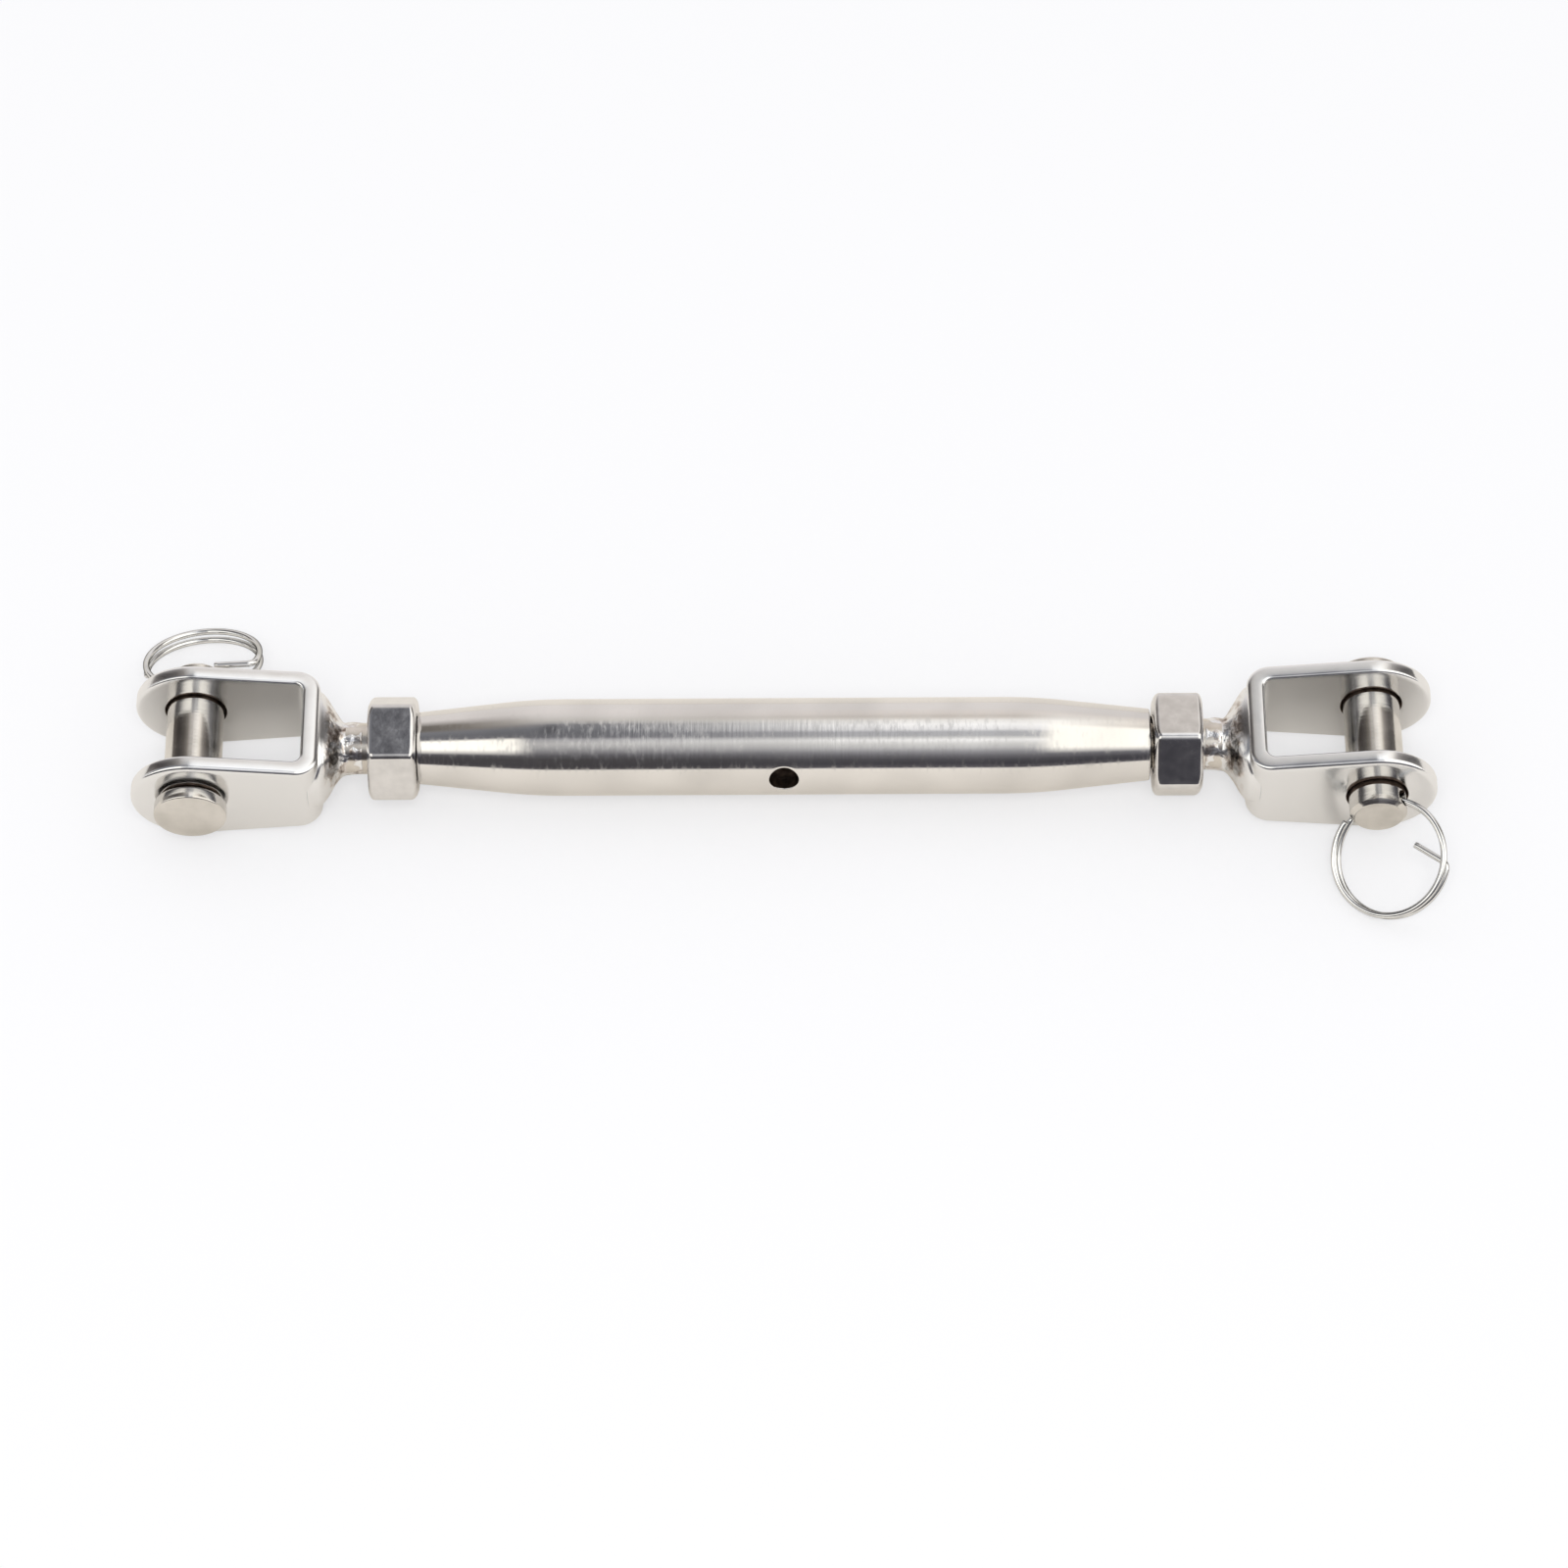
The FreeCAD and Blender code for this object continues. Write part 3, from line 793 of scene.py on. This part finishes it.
def pin_sheets(side):
    """The pin drawn along X with its head at +X, then stood across the jaw and turned to its side."""
    turn = math.radians(180 - PIN_SPIN_ANGLES[side])
    half = math.pi * PIN_WINDOW / PIN_COLUMNS
    window_low = RING_HOLE_PLACE - RING_HOLE_RADIUS - 0.04
    half_x = (-FORK_HALF_WIDTH - 0.05 - window_low) / 2
    window_place = window_low + half_x
    tip = eased([
        (PIN_TIP, FACE_RING_RADIUS), (PIN_TIP, PIN_RADIUS - PIN_CHAMFER), (PIN_TIP + PIN_CHAMFER, PIN_RADIUS),
        (window_low, PIN_RADIUS),
    ], PIN_EASE)
    head = eased([
        (HEAD_FACE - 0.6, PIN_RADIUS), (HEAD_FACE, PIN_RADIUS), (HEAD_FACE, HEAD_RADIUS),
        (HEAD_END - HEAD_BREAK_LENGTH, HEAD_RADIUS), (HEAD_END, HEAD_RADIUS - HEAD_BREAK),
        (HEAD_END, FACE_RING_RADIUS),
    ], HEAD_EASE)
    outline = [(PIN_TIP, 0.0)] + [tuple(p) for p in tip[:-1]]
    outline += [(window_place + half_x * (2 * k / PIN_WINDOW - 1), PIN_RADIUS)
                for k in range(PIN_WINDOW + 1)]
    outline += [(x, PIN_RADIUS) for x in (-SHADE_BAND_START, 0.0, SHADE_BAND_START)] + [tuple(p) for p in head]
    outline.append((HEAD_END, 0.0))
    sheets = [tube_with_windows(outline, PIN_COLUMNS, turn, [(window_place, PIN_RADIUS, half_x, half)])]
    offset = window_place - RING_HOLE_PLACE
    ends = [hole_rows(RING_HOLE_PLACE, PIN_RADIUS, RING_HOLE_RADIUS, RING_HOLE_RIM, half_x, half,
                      PIN_WINDOW, t, offset=offset) for t in (turn, turn + math.pi)]
    sheets += [grid(rows) for rows in ends]
    loop = 4 * PIN_WINDOW
    sheets.append(grid([ends[0][-1], [ends[1][-1][(3 * PIN_WINDOW - k) % loop] for k in range(loop)]]))
    stand = Matrix.Rotation(math.radians(90), 4, "Z")
    place = Matrix.Translation((PIN_PLACE, 0, 0))
    to_side = Matrix.Rotation(0 if side == "right" else math.pi, 4, "Z")
    where_to = to_side @ place @ stand
    return [([where_to @ p for p in points], faces) for points, faces in sheets]


# Turned stainless: rings of tool marks on the end faces and a polished shank.
pin_steel, tree, shader = new_material("turned_stainless_pin")
where = add(tree, "ShaderNodeTexCoord").outputs["Object"]
split = add(tree, "ShaderNodeSeparateXYZ", {"Vector": where})
off_middle = add(tree, "ShaderNodeMath", {0: split.outputs["X"]}, operation="ABSOLUTE").outputs["Value"]
off_axis = add(tree, "ShaderNodeMath", {0: off_middle, 1: PIN_PLACE * MILLIMETRE},
               operation="SUBTRACT").outputs["Value"]
square = add(tree, "ShaderNodeMath", {0: split.outputs["Z"], 1: split.outputs["Z"],
                                      2: times(tree, off_axis, off_axis)}, operation="MULTIPLY_ADD")
radius = add(tree, "ShaderNodeMath", {0: square.outputs["Value"]}, operation="SQRT").outputs["Value"]
axes = add(tree, "ShaderNodeCombineXYZ", {"X": radius, "Y": split.outputs["Y"]}).outputs["Vector"]
stain = mottle(tree, where, 300.0, 3.0)
haze = spread(tree, stain, 0.3, 0.7, 0.09, 0.2)
tint = colours(tree, stain, [(0.3, "#c5c2bd"), (0.7, "#dfdcd8")])
bare_metal(tree, shader, tint, haze, relief(tree, mottle(tree, axes, 4000.0, 2.0), 0.35, 0.00003))
for side in SIDES:
    pin = make_piece(side + "_clevis_pin", pin_sheets(side), pin_steel, side + "_pin", crease=40.0)
    # Painted shade on the pin where it runs in the ears and under its head.
    paint_shade(pin, lambda x, y, z: SHADE_BAND_START < abs(y) < HEAD_FACE - 0.02
           and math.hypot(abs(x) - PIN_PLACE, z) < PIN_RADIUS + 0.02)

# Split rings, hard stainless spring wire wound a bit over one and a half turns, with the inner end
# bent in to a tail. Each is threaded through its pin's cross hole and leans on the table.
RING_WIRE_RADIUS = 0.33
RING_RADIUS = 5.97
RING_PITCH = 1.0
RING_SWEEP_ANGLE = 566.0
RING_TAIL_ANGLES = {"left": -75.0, "right": 118.0}
RING_LEAN_ANGLES = {"left": 27.88, "right": 23.54}
TAIL_LENGTH = 4.6
TAIL_TURN_ANGLE = 73.0
TAIL_BEND = 0.9
COIL_STEPS = 160
TAIL_BEND_STEPS = 10
TAIL_STEPS = 8
WIRE_SIDES = 16
WIRE_CAP = ((0.0, 0.0), (0.7, 0.0), (0.93, -0.03), (1.0, -0.1))


def ring_path(side):
    """Centre line of the wire, from the tip of its tail round to its free end."""
    lean = math.radians(RING_LEAN_ANGLES[side])
    spin = math.radians(PIN_SPIN_ANGLES[side])
    along = Vector((math.cos(spin), 0, math.sin(spin)))
    outward = Vector((
        math.sin(spin) * math.sin(lean), -math.cos(lean), -math.cos(spin) * math.sin(lean),
    ))
    across = along.cross(outward)
    half_bow = (RING_RADIUS - math.sqrt(RING_RADIUS ** 2 - PIN_RADIUS ** 2)) / 2
    hole = Vector((PIN_PLACE, RING_HOLE_PLACE, 0))
    centre = hole + outward * (RING_RADIUS - half_bow)
    way = 1 if RING_TAIL_ANGLES[side] > 0 else -1
    start = abs(RING_TAIL_ANGLES[side])
    coil = []
    for k in range(COIL_STEPS + 1):
        degrees = start + RING_SWEEP_ANGLE * k / COIL_STEPS
        t = math.radians(degrees)
        rim = along * (way * math.sin(t)) - outward * math.cos(t)
        coil.append(centre + rim * RING_RADIUS - across * (way * RING_PITCH * (degrees - 360) / 360))
    t = math.radians(start)
    radial = along * (way * math.sin(t)) - outward * math.cos(t)
    back = -(along * (way * math.cos(t)) + outward * math.sin(t))
    bend_centre = coil[0] - radial * TAIL_BEND
    bend = []
    for k in range(TAIL_BEND_STEPS):
        turn = math.radians(TAIL_TURN_ANGLE) * (1 - k / TAIL_BEND_STEPS)
        bend.append(bend_centre + (radial * math.cos(turn) + back * math.sin(turn)) * TAIL_BEND)
    turn = math.radians(TAIL_TURN_ANGLE)
    inward = back * math.cos(turn) - radial * math.sin(turn)
    straight = TAIL_LENGTH - TAIL_BEND * turn
    tail = [bend[0] + inward * (straight * (1 - k / TAIL_STEPS)) for k in range(TAIL_STEPS)]
    return tail + bend + coil


def wire_sheet(path):
    """A round wire along a path, its section carried without twist and its ends rounded over."""
    ways = [(b - a).normalized() for a, b in zip(path, path[1:])]
    ways.append(ways[-1])
    side = ways[0].orthogonal().normalized()
    rows = []
    for k, (point, way) in enumerate(zip(path, ways)):
        side = (side - way * side.dot(way)).normalized()
        up = way.cross(side)
        section = [side * math.cos(t) + up * math.sin(t) for t in even_turns(WIRE_SIDES)]
        if k in (0, len(path) - 1):
            cap = []
            sign = -1 if k == 0 else 1
            for size, proud in WIRE_CAP:
                middle = point + way * (sign * proud)
                cap.append([middle + s * (RING_WIRE_RADIUS * size) for s in section])
            rows += cap if k == 0 else cap[::-1]
        else:
            rows.append([point + s * RING_WIRE_RADIUS for s in section])
    return grid(rows)


# Drawn spring wire: smooth and bright, with faint lines along it from the die, and darker edges that are a
# painted dark reflection.
wire_steel, tree, shader = new_material("drawn_stainless_spring_wire")
where = add(tree, "ShaderNodeTexCoord").outputs["Object"]
die = mottle(tree, where, 800.0, 2.0)
haze = spread(tree, die, 0.0, 1.0, 0.03, 0.09)
tint = colours(tree, die, [(0.3, "#dddedf"), (0.7, "#eceded")])
bare_metal(tree, shader, tint, haze, relief(tree, die, 0.15, 0.00002))
# The near-black specular tint paints the wire's sides dark at grazing angles: a painted dark reflection.
shader.inputs["Specular Tint"].default_value = linear("#141210")
for side in SIDES:
    points, faces = wire_sheet(ring_path(side))
    if side == "left":
        points = [Vector((-p.x, -p.y, p.z)) for p in points]
    make_piece(side + "_split_ring", [(points, faces)], wire_steel, side + "_ring", crease=60.0)

# Table and room. A white sheet under the part, and a pale room in which the metal also sees the dark
# of the camera's side, a grey ceiling, two bright windows, one at each end, and dark walls behind.
TABLE_HEIGHT = -EYE_RADIUS * MILLIMETRE
FLOOR_REACH = 3.0
FLOOR_SIDES = 64
floor_mesh = bpy.data.meshes.new("floor")
corners = [(FLOOR_REACH * math.cos(t), FLOOR_REACH * math.sin(t), TABLE_HEIGHT)
           for t in even_turns(FLOOR_SIDES)]
floor_mesh.from_pydata(corners, [], [tuple(range(FLOOR_SIDES))])
floor = bpy.data.objects.new("floor", floor_mesh)
bpy.context.scene.collection.objects.link(floor)


def blend(tree, share, a, b):
    """A colour between two others, by a share."""
    return add(tree, "ShaderNodeMix", {"Factor": share, "A": a, "B": b}, data_type="RGBA").outputs[2]


# Matt white paper: no gloss, only the part's soft shadow, which the camera sees lightened.
paper, tree, shader = new_material("matt_white_paper")
shader.inputs["Roughness"].default_value = 0.9
shader.inputs["Specular IOR Level"].default_value = 0.0
floor_mesh.materials.append(paper)
seen_paper = add(tree, "ShaderNodeEmission", {"Color": linear("#fdfdfe"), "Strength": 1.0})
path = add(tree, "ShaderNodeLightPath")
paper_tint = blend(tree, path.outputs["Is Glossy Ray"], linear("#fbfbfc"), linear("#f8f2e8"))
tree.links.new(paper_tint, shader.inputs["Base Color"])
lifted = times(tree, path.outputs["Is Camera Ray"], 0.5)
whitened = add(tree, "ShaderNodeMixShader", {"Fac": lifted, 1: shader.outputs["BSDF"],
                                             2: seen_paper.outputs["Emission"]})
tree.links.new(whitened.outputs["Shader"], tree.nodes["Material Output"].inputs["Surface"])

# The room as the metal sees it, by the angle from the front horizon over the top to the back one.
room = bpy.data.worlds.new("pale_room")
bpy.context.scene.world = room
room.use_nodes = True
tree = room.node_tree
look = add(tree, "ShaderNodeTexCoord").outputs["Generated"]
parts = add(tree, "ShaderNodeSeparateXYZ", {"Vector": look}).outputs
to_front = times(tree, parts["Y"], -1.0)
angle = add(tree, "ShaderNodeMath", {0: parts["Z"], 1: to_front}, operation="ARCTAN2").outputs["Value"]
share = add(tree, "ShaderNodeMath", {0: angle, 1: math.pi}, operation="DIVIDE").outputs["Value"]
left_bands = colours(tree, share, [
    (0.0, "#e6e2dd"), (0.018, "#504e50"), (0.05, "#444245"), (0.15, "#474547"), (0.205, "#5d5c60"),
    (0.258, "#878689"), (0.311, "#a9a9aa"), (0.361, "#bcbbbb"), (0.414, "#a8a8ab"), (0.450, "#6f6f74"),
    (0.517, "#6c6d72"), (0.572, "#76777c"), (0.625, "#7f7f83"), (0.650, "#a3a2a2"), (0.695, "#c2bfbb"),
    (0.755, "#d1cdcb"), (0.833, "#d9d4d2"), (1.0, "#d9d5d3"),
])
right_bands = colours(tree, share, [
    (0.0, "#e6e2dd"), (0.018, "#57555a"), (0.075, "#414045"), (0.13, "#4e4d52"), (0.184, "#6e6d72"),
    (0.236, "#939397"), (0.288, "#c3c3c4"), (0.34, "#dadad9"), (0.39, "#fafafa"), (0.415, "#dededd"),
    (0.444, "#b9babd"), (0.497, "#b8b9bd"), (0.535, "#ededef"), (0.60, "#ffffff"), (0.667, "#f0eeeb"),
    (0.700, "#d6d0ca"), (0.727, "#c9c3bd"), (0.78, "#d9d2cd"), (0.87, "#d9d5d3"), (1.0, "#d9d5d3"),
])
seen = blend(tree, spread(tree, parts["X"], -0.03, 0.02), left_bands, right_bands)

# A dark beam in the ceiling, a little to the left, which the left nut's upper flat reflects.
beam_across = times(tree, spread(tree, parts["X"], -0.056, -0.063),
                    spread(tree, parts["X"], -0.14, -0.08))
beam_along = times(tree, spread(tree, share, 0.46, 0.52), spread(tree, share, 0.64, 0.58))
seen = blend(tree, times(tree, beam_across, beam_along), seen, linear("#5a5a5e"))

# Two windows, brighter than white paper. The right one reaches higher.
windows = []
for edge, top_start, top_end in ((-1, 0.46, 0.42), (1, 0.70, 0.65)):
    tall = times(tree, spread(tree, share, 0.20, 0.29), spread(tree, share, top_start, top_end))
    windows.append(times(tree, tall, spread(tree, parts["X"], edge * 0.165, edge * 0.215)))
window = add(tree, "ShaderNodeMath", {0: windows[0], 1: windows[1]}, operation="ADD").outputs["Value"]
seen = blend(tree, window, seen, [1.2 * c for c in linear("#fffcf4")])

# The wall behind the part, from left to right, as the pins and the forks' round rims reflect it.
back_wall = colours(tree, spread(tree, parts["X"], -1.0, 1.0), [
    (0.0, "#8a8580"), (0.08, "#625d5a"), (0.115, "#403b39"), (0.16, "#403c3b"), (0.26, "#575350"),
    (0.34, "#79746f"), (0.42, "#a39d97"), (0.48, "#d0ccc8"), (0.505, "#fdfbf8"), (0.60, "#fffefb"),
    (0.68, "#f2ece4"), (0.76, "#8f8a86"), (0.82, "#6f6a67"), (0.88, "#4d4a49"), (0.92, "#5b5856"),
    (1.0, "#8a8580"),
])
off_middle = add(tree, "ShaderNodeMath", {0: parts["X"]}, operation="ABSOLUTE").outputs["Value"]
behind = times(tree, spread(tree, parts["Y"], 0.25, 0.40), spread(tree, parts["Y"], 0.85, 0.60))
wall = times(tree, behind, spread(tree, off_middle, 0.08, 0.30))
seen = blend(tree, wall, seen, back_wall)
path = add(tree, "ShaderNodeLightPath")
seen_light = add(tree, "ShaderNodeBackground", {"Color": seen, "Strength": 1.3})
plain_light = add(tree, "ShaderNodeBackground", {"Color": linear("#fbfbfd"), "Strength": 0.81})
choice = add(tree, "ShaderNodeMixShader", {"Fac": path.outputs["Is Glossy Ray"],
                                           1: plain_light.outputs["Background"],
                                           2: seen_light.outputs["Background"]})
tree.links.new(choice.outputs["Shader"], tree.nodes["World Output"].inputs["Surface"])

# Soft lamp above the camera's side, which throws the barrel's shadow back out of sight behind it.
lamp = bpy.data.lights.new("window_lamp", "AREA")
lamp.shape = "RECTANGLE"
lamp.size, lamp.size_y = 0.45, 0.35
lamp.energy = 3.0
lamp_place = bpy.data.objects.new("window_lamp", lamp)
lamp_place.location = (0.0, -0.5, 0.866)
lamp_place.rotation_euler = (math.radians(30), 0, 0)
lamp_place.visible_glossy = False
bpy.context.scene.collection.objects.link(lamp_place)

# Camera, square on to the barrel and looking down at 57 degrees.
CAMERA_RISE = math.radians(57.0)
CAMERA_DISTANCE = 0.62
CAMERA_ROLL = math.radians(-0.3)
camera = bpy.data.cameras.new("camera")
camera.sensor_width = 36.0
camera.lens = 137.55
camera_place = bpy.data.objects.new("camera", camera)
target = Vector((0.0, -0.00327, -0.00213))
back = Vector((0, -math.cos(CAMERA_RISE), math.sin(CAMERA_RISE)))
turned = (-back).to_track_quat("-Z", "Y").to_matrix().to_4x4() @ Matrix.Rotation(CAMERA_ROLL, 4, "Z")
camera_place.matrix_world = Matrix.Translation(target + back * CAMERA_DISTANCE) @ turned
bpy.context.scene.collection.objects.link(camera_place)
bpy.context.scene.camera = camera_place
bpy.context.scene.view_settings.view_transform = "Standard"
